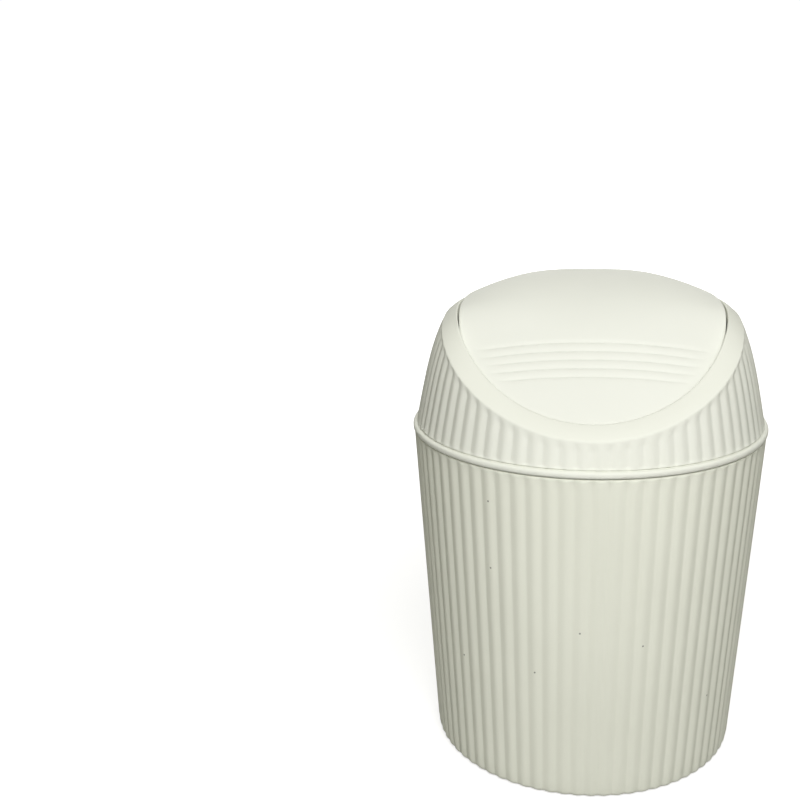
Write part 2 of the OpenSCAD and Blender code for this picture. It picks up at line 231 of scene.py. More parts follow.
def cut_z(y):
    """Height of the S-shaped cut that ends the dome's reeds."""
    bend = SLOPE_BLEND * soft_ramp((SLOPE_Y - y) / SLOPE_BLEND)
    return DOME_TOP_Z - tan_deg(FRONT_SLOPE) * bend - rear_drop(y)


def reed_end_z(angle):
    """Height at which the reeds end, found in a few rounds since the dome's radius depends on it."""
    z = np.full_like(angle, DOME_TOP_Z)
    for _ in range(6):
        z = cut_z(-dome_r(z) * np.cos(angle))
    return z


def reed_end_r(angle):
    return dome_r(reed_end_z(np.array([angle])))[0]


# The mouth's outline: half an ellipse in front and a fuller curve behind
MOUTH_Y = -MOUTH_FORWARD
MOUTH_A = reed_end_r(math.pi / 2) - BAND_SIDE
MOUTH_FRONT = reed_end_r(0.0) - BAND_FRONT - MOUTH_FORWARD
MOUTH_BACK = reed_end_r(math.pi) - BAND_BACK + MOUTH_FORWARD
EDGE_K = tan_deg(EDGE_SLOPE)
FRONT_END_Z = reed_end_z(np.array([0.0]))[0]
EDGE_BEND_Y = MOUTH_Y - MOUTH_FRONT + (LIP_Z - FRONT_END_Z - FRONT_RISE) / EDGE_K


def mouth_xy(angle, grow=0.0):
    """Points of the mouth's outline, grown by a distance."""
    s, c = np.sin(angle), np.cos(angle)
    n = np.where(c > 0, 1.0, 2 / MOUTH_POWER)
    b = np.where(c > 0, MOUTH_FRONT, MOUTH_BACK)
    x = (MOUTH_A + grow) * np.sign(s) * np.abs(s) ** n
    y = MOUTH_Y - (b + grow) * np.sign(c) * np.abs(c) ** n
    return x, y


def edge_z(y):
    """Height of the mouth's edge at a Y position."""
    bend = EDGE_BLEND * soft_ramp((EDGE_BEND_Y - y) / EDGE_BLEND)
    return LIP_Z - EDGE_K * bend - rear_drop(y)


def flange_z(y):
    """Height of the flange's lower edge."""
    slanted = edge_z(0.0) - FLANGE_H + y * tan_deg(FLANGE_SLOPE)
    return np.minimum(slanted, edge_z(y) - FLANGE_MIN_H)


# Places of the pivots on the mouth's sides
PIVOT_X = MOUTH_A * (1 - (MOUTH_FORWARD / MOUTH_BACK) ** MOUTH_POWER) ** (1 / MOUTH_POWER)
SKIRT_X = PIVOT_X - LID_GAP
BOSS_X = PIVOT_X + BOSS_LEN + FLANGE_T

# The lid's outline and the heights along its middle line
LID_A = MOUTH_A - LID_GAP
LID_FRONT = MOUTH_FRONT - LID_GAP
LID_BACK = MOUTH_BACK - LID_GAP
LID_FRONT_Y = MOUTH_Y - LID_FRONT
LID_BACK_Y = MOUTH_Y + LID_BACK
PAD_K = tan_deg(PAD_SLOPE)
PAD_END_Y = LID_FRONT_Y + PAD_LEN
PAD_END_Z = float(edge_z(LID_FRONT_Y)) - NOSE_DROP + PAD_LEN * PAD_K
CAP_TOP_Z = LIP_Z + CAP_RISE
CAP_POWER = PAD_K * (CAP_Y - PAD_END_Y) / (CAP_TOP_Z - PAD_END_Z)
BACK_FALL = CAP_TOP_Z - float(edge_z(LID_BACK_Y)) - BACK_RISE
GROOVE_BACK = PAD_END_Y - GROOVE_PITCH
GROOVE_FRONT = GROOVE_BACK - (GROOVE_COUNT - 1) * GROOVE_PITCH


def middle_z(y):
    """Height of the lid along its middle line."""
    pad = PAD_END_Z - (PAD_END_Y - y) * PAD_K
    rise = np.maximum(0, (CAP_Y - y) / (CAP_Y - PAD_END_Y))
    cap = CAP_TOP_Z - (CAP_TOP_Z - PAD_END_Z) * rise**CAP_POWER
    drop = np.maximum(0, (y - CAP_Y) / (LID_BACK_Y - CAP_Y))
    back = CAP_TOP_Z - BACK_FALL * drop**BACK_POWER
    return np.where(y < PAD_END_Y, pad, np.where(y < CAP_Y, cap, back))


def lid_half_w(y):
    """Half the lid's width at a Y position."""
    n = np.where(y < MOUTH_Y, 2.0, MOUTH_POWER)
    b = np.where(y < MOUTH_Y, LID_FRONT, LID_BACK)
    return LID_A * np.maximum(0, 1 - (np.abs(y - MOUTH_Y) / b) ** n) ** (1 / n)


def side_z(y):
    """Height of the lid's sides: low beside the pad, level with the mouth's edge further back."""
    share = np.maximum(0, y - PAD_END_Y) / (LID_BACK_Y - PAD_END_Y)
    fall = SIDE_FALL + (BACK_SIDE_FALL - SIDE_FALL) * share
    plain = middle_z(y) - fall * (lid_half_w(y) / LID_A) ** SIDE_POWER
    rise = SIDE_RISE + (BACK_SIDE_RISE - SIDE_RISE) * smooth_step(y / BACK_SIDE_RUN)
    level = smooth_step((y - SIDE_LIFT_FROM) / SIDE_LIFT_RUN)
    return plain + (edge_z(y) + rise - plain) * level


def lid_z(x, y):
    """Height of the lid's upper face without its grooves."""
    out = np.abs(x) / np.maximum(lid_half_w(y), 1.0)
    back = smooth_step((y - PAD_END_Y) / BACK_SIDE_RUN)
    power = SIDE_POWER + (BACK_SIDE_POWER - SIDE_POWER) * back
    return middle_z(y) - (middle_z(y) - side_z(y)) * out**power


def groove_depth(x, y):
    """Depth of the sharp grip grooves, with rounded reeds between, run out before the sides."""
    u = (y - GROOVE_FRONT) / GROOVE_PITCH
    v = u - np.floor(u)
    inside = (u > -0.5) & (u < GROOVE_COUNT - 0.5)
    run_out = smooth_step((lid_half_w(y) - GROOVE_END - np.abs(x)) / GROOVE_FADE)
    return np.where(inside, GROOVE_D * (2 * v - 1) ** 2, 0.0) * run_out


def new_piece(name, points_mm, faces, corner_angle=CORNER_ANGLE):
    """A mesh object at the origin, from points in millimetres, with its corners kept crisp."""
    mesh = bpy.data.meshes.new(name)
    mesh.from_pydata((np.asarray(points_mm, float) * MM).tolist(), [], faces)
    mesh.validate()
    piece = bpy.data.objects.new(name, mesh)
    bpy.context.scene.collection.objects.link(piece)
    mesh.shade_smooth()
    mesh.set_sharp_from_angle(angle=math.radians(corner_angle))
    return piece


def ring_quads(first, second, n):
    """Quads between two rings of n points that start at the given indices."""
    i = np.arange(n)
    j = (i + 1) % n
    return np.stack([first + i, first + j, second + j, second + i], 1).tolist()


def round_points(centre, radius, start, end, steps):
    """Points on an arc, as (radius from the axis, height) pairs."""
    angles = np.radians(np.linspace(start, end, steps))
    return [(centre[0] + radius * math.cos(a), centre[1] + radius * math.sin(a)) for a in angles]


def build_bucket_base():
    """The bucket without reeds, and how much of a reed each of its points carries.

    Its rings go from the middle of the underside up the outside and down to the middle of the floor.
    """
    foot_r = BUCKET_BASE_R - FOOT_ROUND
    recess_r = foot_r - FOOT_RING_W
    rim_out = float(bucket_r(RIM_Z))
    rim_in = float(bucket_in_r(RIM_Z))
    corner_z = FLOOR_T + FOOT_ROUND
    corner_r = float(bucket_in_r(corner_z)) - FOOT_ROUND

    # Each ring is its radius, its height and its share of a reed
    profile = [
        (AXIS_R, FOOT_RECESS, 0.0),
        (recess_r - 0.6, FOOT_RECESS, 0.0),
        (recess_r, FOOT_RECESS - 0.3, 0.0),
        (recess_r + 0.3, 0.0, 0.0),
        (foot_r - 2.5, 0.0, 0.0),
    ]
    profile += [(r, z, 1.0) for r, z in round_points((foot_r, FOOT_ROUND), FOOT_ROUND, -90, 0, 7)]
    wall_z = np.linspace(FOOT_ROUND + 1.5, RIM_Z - 1.2, BUCKET_ROWS)
    profile += [(float(bucket_r(z)), z, 1.0) for z in wall_z]
    profile += [
        (rim_out - 0.05, RIM_Z - 0.5, 0.55),
        (rim_out - 0.3, RIM_Z - 0.1, 0.3),
        (rim_out - 0.6, RIM_Z, 0.2),
        (rim_in + 0.3, RIM_Z, 0.0),
        (rim_in, RIM_Z - 0.3, 0.0),
    ]
    inside_z = np.linspace(RIM_Z - 6, corner_z, BUCKET_IN_ROWS)
    profile += [(float(bucket_in_r(z)), z, 0.0) for z in inside_z]
    profile += [(r, z, 0.0) for r, z in round_points((corner_r, corner_z), FOOT_ROUND, -15, -90, 5)]
    profile += [(corner_r / 2, FLOOR_T, 0.0), (AXIS_R, FLOOR_T, 0.0)]

    s, c = np.sin(RING_ANGLES), np.cos(RING_ANGLES)
    rings = [np.stack([r * s, -r * c, np.full(RING_N, z)], 1) for r, z, _ in profile]
    shares = [np.full(RING_N, share) for _, _, share in profile]
    last = (len(profile) - 1) * RING_N
    faces = []
    for start in range(0, last, RING_N):
        faces += ring_quads(start, start + RING_N, RING_N)
    faces.append(list(range(RING_N))[::-1])
    faces.append([last + i for i in range(RING_N)])
    return np.concatenate(rings), faces, np.concatenate(shares)


def build_cover_base():
    """The cover without reeds, as one closed skin, and how much of a reed each point carries.

    Its rings go from the plug over the collar bead, the dome and the band to the mouth, down the
    flange, and back under the band and down the inside of the dome.
    """
    a = RING_ANGLES
    s, c = np.sin(a), np.cos(a)
    rings, shares = [], []

    def add(x, y, z, share=0.0):
        full = np.ones(RING_N)
        rings.append(np.stack([x * full, y * full, z * full], 1))
        shares.append(full * share)

    def add_round(r, z, share=0.0):
        add(r * s, -r * c, z, share)

    def add_mouth(grow, z):
        add(*mouth_xy(a, grow), z)

    # Plug, then the bead round the collar
    plug_z = RIM_Z - PLUG_H
    plug_out_low = float(bucket_in_r(plug_z)) - REST_GAP
    plug_out_top = float(bucket_in_r(RIM_Z)) - REST_GAP
    plug_in_r = plug_out_low - PLUG_T
    bead = COLLAR_H * 0.4
    bead_r = COLLAR_R - bead
    outline = [
        (plug_in_r + EASE, plug_z),
        (plug_out_low - PLUG_T / 3, plug_z),
        (plug_out_low, plug_z + 1),
        (plug_out_top - 0.02, COLLAR_Z - 0.4),
        (plug_out_top + 0.3, COLLAR_Z),
        (bead_r, COLLAR_Z),
    ]
    outline += round_points((bead_r, COLLAR_Z + bead), bead, -72, 0, 5)
    outline += round_points((bead_r, DOME_Z - bead), bead, 0, 90, 6)

    # Small fillet between the collar's ledge and the foot of the dome's wall
    fillet_r = DOME_BASE_R - REED_H
    outline += [(fillet_r + 0.55, DOME_Z + 0.02), (fillet_r + 0.25, DOME_Z + 0.12)]
    outline += [(fillet_r + 0.12, DOME_Z + 0.32)]
    for r, z in outline:
        add_round(r, z)

    # The reeds rise out of the ledge, run up the dome and fade out below the band
    foot_z = DOME_Z + DOME_FOOT_H
    for z, share in ((DOME_Z + 0.55, 0.35), (DOME_Z + 0.95, 0.8), (foot_z, 1.0)):
        add_round(float(dome_r(z)), z, share)
    end_z = reed_end_z(a)
    fade = REED_FADE + (REED_FRONT_FADE - REED_FADE) * np.maximum(0, c) ** 2
    reed_top = end_z - fade
    for t in np.linspace(0, 1, DOME_ROWS)[1:]:
        z = foot_z + (reed_top - foot_z) * t
        add_round(dome_r(z), z, 1.0)
    for t in (0.15, 0.3, 0.45, 0.6, 0.75, 0.9):
        z = reed_top + fade * t
        add_round(dome_r(z), z, 1 - float(smooth_step(t)))

    # The smooth band rolls from the reed ends over to the mouth's edge
    mouth_y = mouth_xy(a)[1]
    outer_r = dome_r(end_z) - BAND_STEP
    outer_x, outer_y = outer_r * s, -outer_r * c
    inner_x, inner_y = mouth_xy(a, LIP_ROUND)
    inner_z = edge_z(mouth_y)
    for t in (0.0, 0.06, 0.13, 0.21, 0.3, 0.4, 0.5, 0.6, 0.7, 0.8, 0.9, 1.0):
        z = end_z + (inner_z - end_z) * t + 4 * BAND_BULGE * t * (1 - t) * (1 - 0.25 * t)
        add(outer_x + (inner_x - outer_x) * t, outer_y + (inner_y - outer_y) * t, z)
    for turn in np.radians((30, 60, 90)):
        add_mouth(LIP_ROUND * (1 - math.sin(turn)), inner_z - LIP_ROUND * (1 - math.cos(turn)))

    # The flange hangs from the mouth's edge
    low = flange_z(mouth_y)
    flange_top = inner_z - 0.6
    for t in (0.5, 1.0):
        add_mouth(0.0, flange_top + (low + 0.3 - flange_top) * t)
    add_mouth(EASE, low + 0.05)
    add_mouth(FLANGE_T - EASE, low + 0.05)
    add_mouth(FLANGE_T, low + 0.4)
    add_mouth(FLANGE_T, inner_z - COVER_WALL)

    # Underside of the band, then down the inside of the dome to the plug
    under_z = end_z - COVER_WALL
    inner_foot = DOME_Z - 0.5
    for t in (1.0, 0.86, 0.6, 0.3, 0.0):
        z = inner_foot + (under_z - inner_foot) * t
        add_round(dome_in_r(z), z)
    add_round(plug_in_r, COLLAR_Z - 1.2)
    add_round(plug_in_r, plug_z + EASE)

    faces = []
    for k in range(len(rings)):
        faces += ring_quads(k * RING_N, (k + 1) % len(rings) * RING_N, RING_N)
    return np.concatenate(rings), faces, np.concatenate(shares)


def lid_rows():
    """Places of the lid's rows from front to back, as shares of its half length and half width."""

    def row_y(row):
        return MOUTH_Y + row[0] * LID_FRONT

    turns = np.radians(np.linspace(3, 90, PAD_ROWS))
    front = [(-math.cos(t), math.sin(t)) for t in turns]
    grooves_from = GROOVE_FRONT - GROOVE_PITCH / 2
    grooves_to = GROOVE_BACK + GROOVE_PITCH / 2
    rows = [row for row in front if row_y(row) < grooves_from - 0.1]
    for y in np.linspace(grooves_from, grooves_to, GROOVE_COUNT * GROOVE_STEPS + 1):
        f = (y - MOUTH_Y) / LID_FRONT
        rows.append((f, math.sqrt(1 - f * f)))
    rows += [row for row in front[::3] if row_y(row) > grooves_to + 0.2]
    n = 2 / MOUTH_POWER
    for t in np.radians(np.linspace(90, 3.5, BACK_ROWS)[1:]):
        rows.append((math.cos(t) ** n, math.sin(t) ** n))
    return rows


def build_lid():
    """The lid as one closed shell: grooved upper face, rounded edge, skirt, inner wall, underside."""
    rows = np.array(lid_rows())
    row_n, col_n = len(rows), LID_COLUMNS + 1
    face_n = row_n * col_n
    f = rows[:, :1] * np.ones(col_n)
    w = rows[:, 1:] * np.ones(col_n)
    spread = np.sin(np.linspace(-math.pi / 2, math.pi / 2, col_n)) * np.ones((row_n, 1))
    b = np.where(f < 0, LID_FRONT, LID_BACK)

    def place(grow):
        return (LID_A + grow) * w * spread, MOUTH_Y + (b + grow) * f

    def flat_list(*parts):
        return np.stack(parts, -1).reshape(-1, len(parts))

    x_out, y_out = place(0.0)
    x, y = place(-LID_ROUND)
    top = flat_list(x, y, lid_z(x, y) - groove_depth(x, y))
    x, y = place(-SKIRT_T)
    under = flat_list(x, y, lid_z(x, y) - LID_T)

    index = np.arange(face_n).reshape(row_n, col_n)
    loop = np.concatenate([index[0, :], index[1:, -1], index[-1, -2::-1], index[-2:0:-1, 0]])
    n = len(loop)

    # Lower edge of the side wall: a low lip in front of the pivots, the skirt behind them
    lip_z = lid_z(x_out, y_out) - LID_LIP
    step = smooth_step((y_out - MOUTH_Y) / SKIRT_STEP)
    low = (lip_z + (SKIRT_LOW_Z - lip_z) * step).reshape(-1)[loop]

    wall = []
    for turn in np.radians((22.5, 45, 67.5, 90)):
        x, y = place(-LID_ROUND * (1 - math.sin(turn)))
        wall.append(flat_list(x, y, lid_z(x, y) - LID_ROUND * (1 - math.cos(turn)))[loop])
    side = flat_list(x_out, y_out)[loop]
    side_top = wall[-1][:, 2]
    for t in (0.5, 1.0):
        wall.append(np.column_stack([side, side_top + (low + EASE - side_top) * t]))
    for grow, lift in ((-EASE, 0.0), (EASE - SKIRT_T, 0.0), (-SKIRT_T, EASE)):
        wall.append(np.column_stack([flat_list(*place(grow))[loop], low + lift]))

    quad = flat_list(index[:-1, :-1], index[:-1, 1:], index[1:, 1:], index[1:, :-1])
    faces = quad.tolist() + (quad[:, ::-1] + face_n).tolist()
    i = np.arange(n)
    j = (i + 1) % n
    edges = [loop] + [2 * face_n + k * n + i for k in range(len(wall))] + [loop + face_n]
    for upper, lower in zip(edges, edges[1:]):
        faces += np.stack([upper[j], upper[i], lower[i], lower[j]], 1).tolist()
    return np.concatenate([top, under] + wall), faces


def turned_x(profile):
    """A closed solid turned about the pivot line, from (x, radius) pairs in order round its section.

    A section that starts on the axis gets a small disc at each end. Any other one is a ring.
    """
    n = PIN_SIDES
    angles = np.linspace(0, 2 * math.pi, n, endpoint=False)
    points, faces = [], []
    for x, r in profile:
        points.append(np.stack([np.full(n, x), r * np.cos(angles), PIVOT_Z + r * np.sin(angles)], 1))
    last = (len(profile) - 1) * n
    for start in range(0, last, n):
        faces += ring_quads(start, start + n, n)
    if profile[0][1] > AXIS_R:
        faces += ring_quads(last, 0, n)
    else:
        faces.append(list(range(n)))
        faces.append([last + i for i in range(n)][::-1])
    return np.concatenate(points), faces


def mirrored(points, faces):
    """The same shell on the other side of the bin."""
    flipped = points.copy()
    flipped[:, 0] *= -1
    return flipped, [face[::-1] for face in faces]


def joined(shells):
    """Several closed shells as one list of points and one of faces."""
    points, faces, at = [], [], 0
    for shell_points, shell_faces in shells:
        points.append(shell_points)
        faces += [[i + at for i in face] for face in shell_faces]
        at += len(shell_points)
    return np.concatenate(points), faces


def lid_pin():
    """A pivot pin with the thicker root that joins it to the skirt from inside."""
    middle_r = AXIS_R / 2
    root = SKIRT_X - PIN_ROOT_LEN
    root_end = SKIRT_X - PIN_ROOT_SINK
    root_r = PIN_R + PIN_ROOT_WALL
    tip = SKIRT_X + PIN_LEN
    return turned_x([
        (root, middle_r),
        (root, root_r - PIN_ROOT_BEVEL),
        (root + PIN_ROOT_BEVEL, root_r),
        (root_end, root_r),
        (root_end, PIN_R),
        (tip - PIN_BEVEL, PIN_R),
        (tip, PIN_R - PIN_BEVEL),
        (tip, middle_r),
    ])


def pivot_boss():
    """The ring outside the flange in which a pin turns."""
    inner = PIVOT_X + 0.15
    bore = PIN_R + PIN_CLEAR
    outer = PIN_R + BOSS_WALL
    return turned_x([
        (inner, bore),
        (inner, outer),
        (BOSS_X - BOSS_BEVEL, outer),
        (BOSS_X, outer - BOSS_BEVEL),
        (BOSS_X, bore + BORE_BEVEL),
        (BOSS_X - BORE_BEVEL, bore),
    ])


def stop_rib(side):
    """One rib inside the dome's back wall that the lid's skirt rests on."""
    top_z = SKIRT_LOW_Z - REST_GAP
    wall_r = float(dome_in_r(top_z))
    tip_r = float(mouth_xy(np.array([math.pi]))[1][0]) - SKIRT_T - STOP_REACH
    low_z = top_z - (wall_r - tip_r + STOP_EXTRA_H)
    low_r = float(dome_in_r(low_z)) + STOP_SINK
    outline = [(tip_r, top_z), (wall_r + STOP_SINK, top_z), (low_r, low_z), (tip_r, top_z - STOP_NOSE_H)]
    turn = math.radians(side * STOP_ANGLE)
    points = []
    for across in (-STOP_W / 2, STOP_W / 2):
        for r, z in outline:
            x = across * math.cos(turn) - r * math.sin(turn)
            y = across * math.sin(turn) + r * math.cos(turn)
            points.append((x, y, z))
    faces = [[0, 1, 2, 3], [7, 6, 5, 4]]
    faces += [[i, i + 4, (i + 1) % 4 + 4, (i + 1) % 4] for i in range(4)]
    return np.array(points), faces


def add_node(tree, kind, feeds, **settings):
    """A node with its settings, and its inputs fed by constants or by other nodes' outputs."""
    made = tree.nodes.new(kind)
    for key, value in settings.items():
        setattr(made, key, value)
    for slot, value in feeds.items():
        if isinstance(value, bpy.types.NodeSocket):
            tree.links.new(value, made.inputs[slot])
        else:
            made.inputs[slot].default_value = value
    return made


def add_math(tree, operation, *values):
    """The result of a math node."""
    return add_node(tree, "ShaderNodeMath", dict(enumerate(values)), operation=operation).outputs[0]


def add_range(tree, value, low, high, start, end, **settings):
    """A value between low and high, carried over to the range from start to end."""
    feeds = {"Value": value, "From Min": low, "From Max": high, "To Min": start, "To Max": end}
    return add_node(tree, "ShaderNodeMapRange", feeds, **settings).outputs["Result"]


def add_colour_mix(tree, share, first, second):
    """One colour blended into another. Sockets 6 and 7 take the two colours, output 2 the blend."""
    return add_node(tree, "ShaderNodeMix", {0: share, 6: first, 7: second}, data_type="RGBA").outputs[2]


def reed_tree():
    """Presses grooves into a wall at an even pitch round the Z axis, with rounded reeds between.

    Returns the tree and the identifiers of its inputs.
    """
    tree = bpy.data.node_groups.new("reeded_wall", "GeometryNodeTree")
    tree.interface.new_socket("Geometry", in_out="INPUT", socket_type="NodeSocketGeometry")
    tree.interface.new_socket("Geometry", in_out="OUTPUT", socket_type="NodeSocketGeometry")
    inputs = {}
    for name, kind in (
        ("Reed count", "Int"),
        ("Reed height", "Float"),
        ("Reed fullness", "Float"),
        ("Notch softness", "Float"),
        ("Finish", "Material"),
    ):
        socket = tree.interface.new_socket(name, in_out="INPUT", socket_type="NodeSocket" + kind)
        inputs[name] = socket.identifier

    given = tree.nodes.new("NodeGroupInput").outputs
    place = tree.nodes.new("GeometryNodeInputPosition").outputs[0]
    part = add_node(tree, "ShaderNodeSeparateXYZ", {0: place}).outputs

    # How far a point lies from the middle of its reed: 0 there and 1 in the notches
    turns = add_math(tree, "ARCTAN2", part[0], add_math(tree, "MULTIPLY", part[1], -1.0))
    turns = add_math(tree, "DIVIDE", turns, 2 * math.pi)
    step = add_math(tree, "FRACT", add_math(tree, "MULTIPLY", turns, given["Reed count"]))
    from_middle = add_math(tree, "SUBTRACT", add_math(tree, "MULTIPLY", step, 2.0), 1.0)
    from_middle = add_math(tree, "ABSOLUTE", from_middle)

    # Crisp notches from a power, soft ones from a wave, and a blend of the two
    crisp = add_math(tree, "POWER", from_middle, given["Reed fullness"])
    wave = add_math(tree, "COSINE", add_math(tree, "MULTIPLY", from_middle, math.pi))
    soft = add_math(tree, "SUBTRACT", 0.5, add_math(tree, "MULTIPLY", wave, 0.5))
    softer = add_math(tree, "MULTIPLY", add_math(tree, "SUBTRACT", soft, crisp), given["Notch softness"])
    groove = add_math(tree, "ADD", crisp, softer)
    share = add_node(tree, "GeometryNodeInputNamedAttribute", {"Name": "reed_share"}, data_type="FLOAT")
    groove = add_math(tree, "MULTIPLY", groove, share.outputs["Attribute"])
    press = add_math(tree, "MULTIPLY", groove, given["Reed height"])

    flat = add_node(tree, "ShaderNodeCombineXYZ", {0: part[0], 1: part[1]}).outputs[0]
    outward = add_node(tree, "ShaderNodeVectorMath", {0: flat}, operation="NORMALIZE").outputs[0]
    inwards = {0: outward, "Scale": add_math(tree, "MULTIPLY", press, -1.0)}
    offset = add_node(tree, "ShaderNodeVectorMath", inwards, operation="SCALE").outputs[0]
    moved = {"Geometry": given["Geometry"], "Offset": offset}
    move = add_node(tree, "GeometryNodeSetPosition", moved).outputs[0]
    real = add_node(tree, "GeometryNodeRealizeInstances", {0: move}).outputs[0]
    painted = {"Geometry": real, "Material": given["Finish"]}
    paint = add_node(tree, "GeometryNodeSetMaterial", painted).outputs[0]
    add_node(tree, "NodeGroupOutput", {"Geometry": paint})
    return tree, inputs


def reeded(name, shell, finish, tree, inputs):
    """A plain shell with reeds raised on it, turned into an ordinary mesh."""
    points, faces, shares = shell
    base = new_piece(name + "_base", points, faces)
    attribute = base.data.attributes.new("reed_share", "FLOAT", "POINT")
    attribute.data.foreach_set("value", np.asarray(shares, np.float32))
    modifier = base.modifiers.new("reeds", "NODES")
    modifier.node_group = tree
    modifier[inputs["Reed count"]] = REED_COUNT
    modifier[inputs["Reed height"]] = REED_DEPTH * MM
    modifier[inputs["Reed fullness"]] = REED_FULLNESS
    modifier[inputs["Notch softness"]] = NOTCH_SOFTNESS
    modifier[inputs["Finish"]] = finish
    graph = bpy.context.evaluated_depsgraph_get()
    mesh = bpy.data.meshes.new_from_object(base.evaluated_get(graph))
    mesh.name = name
    piece = bpy.data.objects.new(name, mesh)
    bpy.context.scene.collection.objects.link(piece)
    base.modifiers.clear()
    plain = base.data
    bpy.data.objects.remove(base)
    bpy.data.meshes.remove(plain)
    mesh.attributes.remove(mesh.attributes["reed_share"])
    mesh.shade_smooth()
    mesh.set_sharp_from_angle(angle=math.radians(CORNER_ANGLE))
    return piece


# Moulded plastic: shine, scales of its clouding, gloss, grain and sink marks, and depths in metres
PLASTIC_IOR = 1.49
PLASTIC_SHINE = 0.2
CLOUD_SCALE = 26
GLOSS_SCALE = 90
GRAIN_SCALE = 2600
GRAIN_DEPTH = 0.00006
SINK_SCALE = 34
SINK_DEPTH = 0.0004
SINK_STRENGTH = 0.35

# Dark specks in the bucket's plastic: cells per metre of wall, a speck's radius in cells, the share
# of cells that hold one, and the wall's radius in metres
SPECK_CELLS = 58
SPECK_R = 0.021
SPECK_SHARE = 0.032
SPECK_STRENGTH = 0.8
SPECK_COLOUR = (0.12, 0.11, 0.10)
SPECK_WALL_R = 0.067


def speck_cover(tree, place, wall_r, seed):
    """How much of a dark speck each point of a round wall carries, the wall unrolled at a radius."""
    part = add_node(tree, "ShaderNodeSeparateXYZ", {0: place}).outputs
    bearing = add_math(tree, "ARCTAN2", part["X"], part["Y"])
    along = add_math(tree, "MULTIPLY_ADD", bearing, wall_r, seed)
    flat = add_node(tree, "ShaderNodeCombineXYZ", {"X": along, "Y": part["Z"]}).outputs[0]
    feeds = {"Vector": flat, "Scale": SPECK_CELLS}
    cells = add_node(tree, "ShaderNodeTexVoronoi", feeds, voronoi_dimensions="2D").outputs
    spots = add_range(tree, cells["Distance"], SPECK_R * 0.7, SPECK_R * 1.2, 1.0, 0.0)
    chance = add_node(tree, "ShaderNodeSeparateColor", {"Color": cells["Color"]}).outputs["Red"]
    rare = add_range(tree, chance, 1 - SPECK_SHARE, 1.003 - SPECK_SHARE, 0.0, SPECK_STRENGTH)
    return add_math(tree, "MULTIPLY", spots, rare)


def moulded_plastic(name, colour, deep_colour, roughness, grain, seed, speck_wall_r=None):
    """Satin moulded plastic, with a few dark specks if it is given a wall radius for them."""
    material = bpy.data.materials.new(name)
    material.use_nodes = True
    tree = material.node_tree
    shader = tree.nodes["Principled BSDF"]
    shader.inputs["IOR"].default_value = PLASTIC_IOR
    shader.inputs["Specular IOR Level"].default_value = PLASTIC_SHINE
    place = tree.nodes.new("ShaderNodeTexCoord").outputs["Object"]
    moved = {"Vector": place, "Location": (seed * 0.37, seed * 0.11, seed * 0.23)}
    shift = add_node(tree, "ShaderNodeMapping", moved).outputs["Vector"]

    def noise(scale, detail, coarseness=0.5):
        feeds = {"Vector": shift, "Scale": scale, "Detail": detail, "Roughness": coarseness}
        return add_node(tree, "ShaderNodeTexNoise", feeds).outputs["Fac"]

    cloud = add_range(tree, noise(CLOUD_SCALE, 3, 0.55), 0.35, 0.7, 0.0, 1.0)
    tint = add_colour_mix(tree, cloud, (*colour, 1), (*deep_colour, 1))
    if speck_wall_r:
        specks = speck_cover(tree, place, speck_wall_r, seed)
        tint = add_colour_mix(tree, specks, tint, (*SPECK_COLOUR, 1))
    tree.links.new(tint, shader.inputs["Base Color"])

    gloss = add_range(tree, noise(GLOSS_SCALE, 4), 0.3, 0.7, roughness - 0.04, roughness + 0.05)
    tree.links.new(gloss, shader.inputs["Roughness"])

    fine = {"Strength": grain, "Distance": GRAIN_DEPTH, "Height": noise(GRAIN_SCALE, 2)}
    grained = add_node(tree, "ShaderNodeBump", fine).outputs["Normal"]
    sink = {"Strength": SINK_STRENGTH, "Distance": SINK_DEPTH, "Height": noise(SINK_SCALE, 1)}
    sunk = add_node(tree, "ShaderNodeBump", {**sink, "Normal": grained}).outputs["Normal"]
    tree.links.new(sunk, shader.inputs["Normal"])
    return material


BUCKET_IVORY = (0.82, 0.83, 0.735)
BUCKET_DEEP = (0.80, 0.81, 0.715)
COVER_IVORY = (0.79, 0.80, 0.735)
COVER_DEEP = (0.775, 0.785, 0.715)
LID_IVORY = (0.80, 0.81, 0.755)
LID_DEEP = (0.785, 0.795, 0.74)

bucket_finish = moulded_plastic("bucket_plastic", BUCKET_IVORY, BUCKET_DEEP, 0.5, 0.25, 1, SPECK_WALL_R)
cover_finish = moulded_plastic("cover_plastic", COVER_IVORY, COVER_DEEP, 0.5, 0.2, 2)
lid_finish = moulded_plastic("lid_plastic", LID_IVORY, LID_DEEP, 0.48, 0.2, 3)

reeds, reed_inputs = reed_tree()

bucket = reeded("bucket_shell", build_bucket_base(), bucket_finish, reeds, reed_inputs)
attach(bucket, "bucket")
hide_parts("bucket")

cover = reeded("cover_shell", build_cover_base(), cover_finish, reeds, reed_inputs)

boss = pivot_boss()
fittings_shells = joined([boss, mirrored(*boss), stop_rib(-1), stop_rib(1)])
fittings = new_piece("cover_bosses_and_stops", *fittings_shells, FITTING_CORNER_ANGLE)
fittings.data.materials.append(cover_finish)
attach(cover, "cover")
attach(fittings, "cover")
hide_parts("dome_cover")

pin = lid_pin()
lid = new_piece("lid_shell", *joined([build_lid(), pin, mirrored(*pin)]))
lid.data.materials.append(lid_finish)
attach(lid, "lid")
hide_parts("swing_lid")

# Floor and backdrop, in metres. The camera sees the floor glow, less near the bin and more far off.
PAPER_HALF = 6.0
PAPER_Z = -0.0002
PAPER_GREY = (0.45, 0.45, 0.45, 1)
PAPER_ROUGHNESS = 0.9
PAPER_SHINE = 0.1
GLOW_FROM = 0.1
GLOW_TO = 0.6
GLOW_NEAR = 0.72
GLOW_FAR = 1.0
AMBIENT = (0.11, 0.107, 0.06, 1)
BACKDROP = (1.03, 1.03, 1.03, 1)


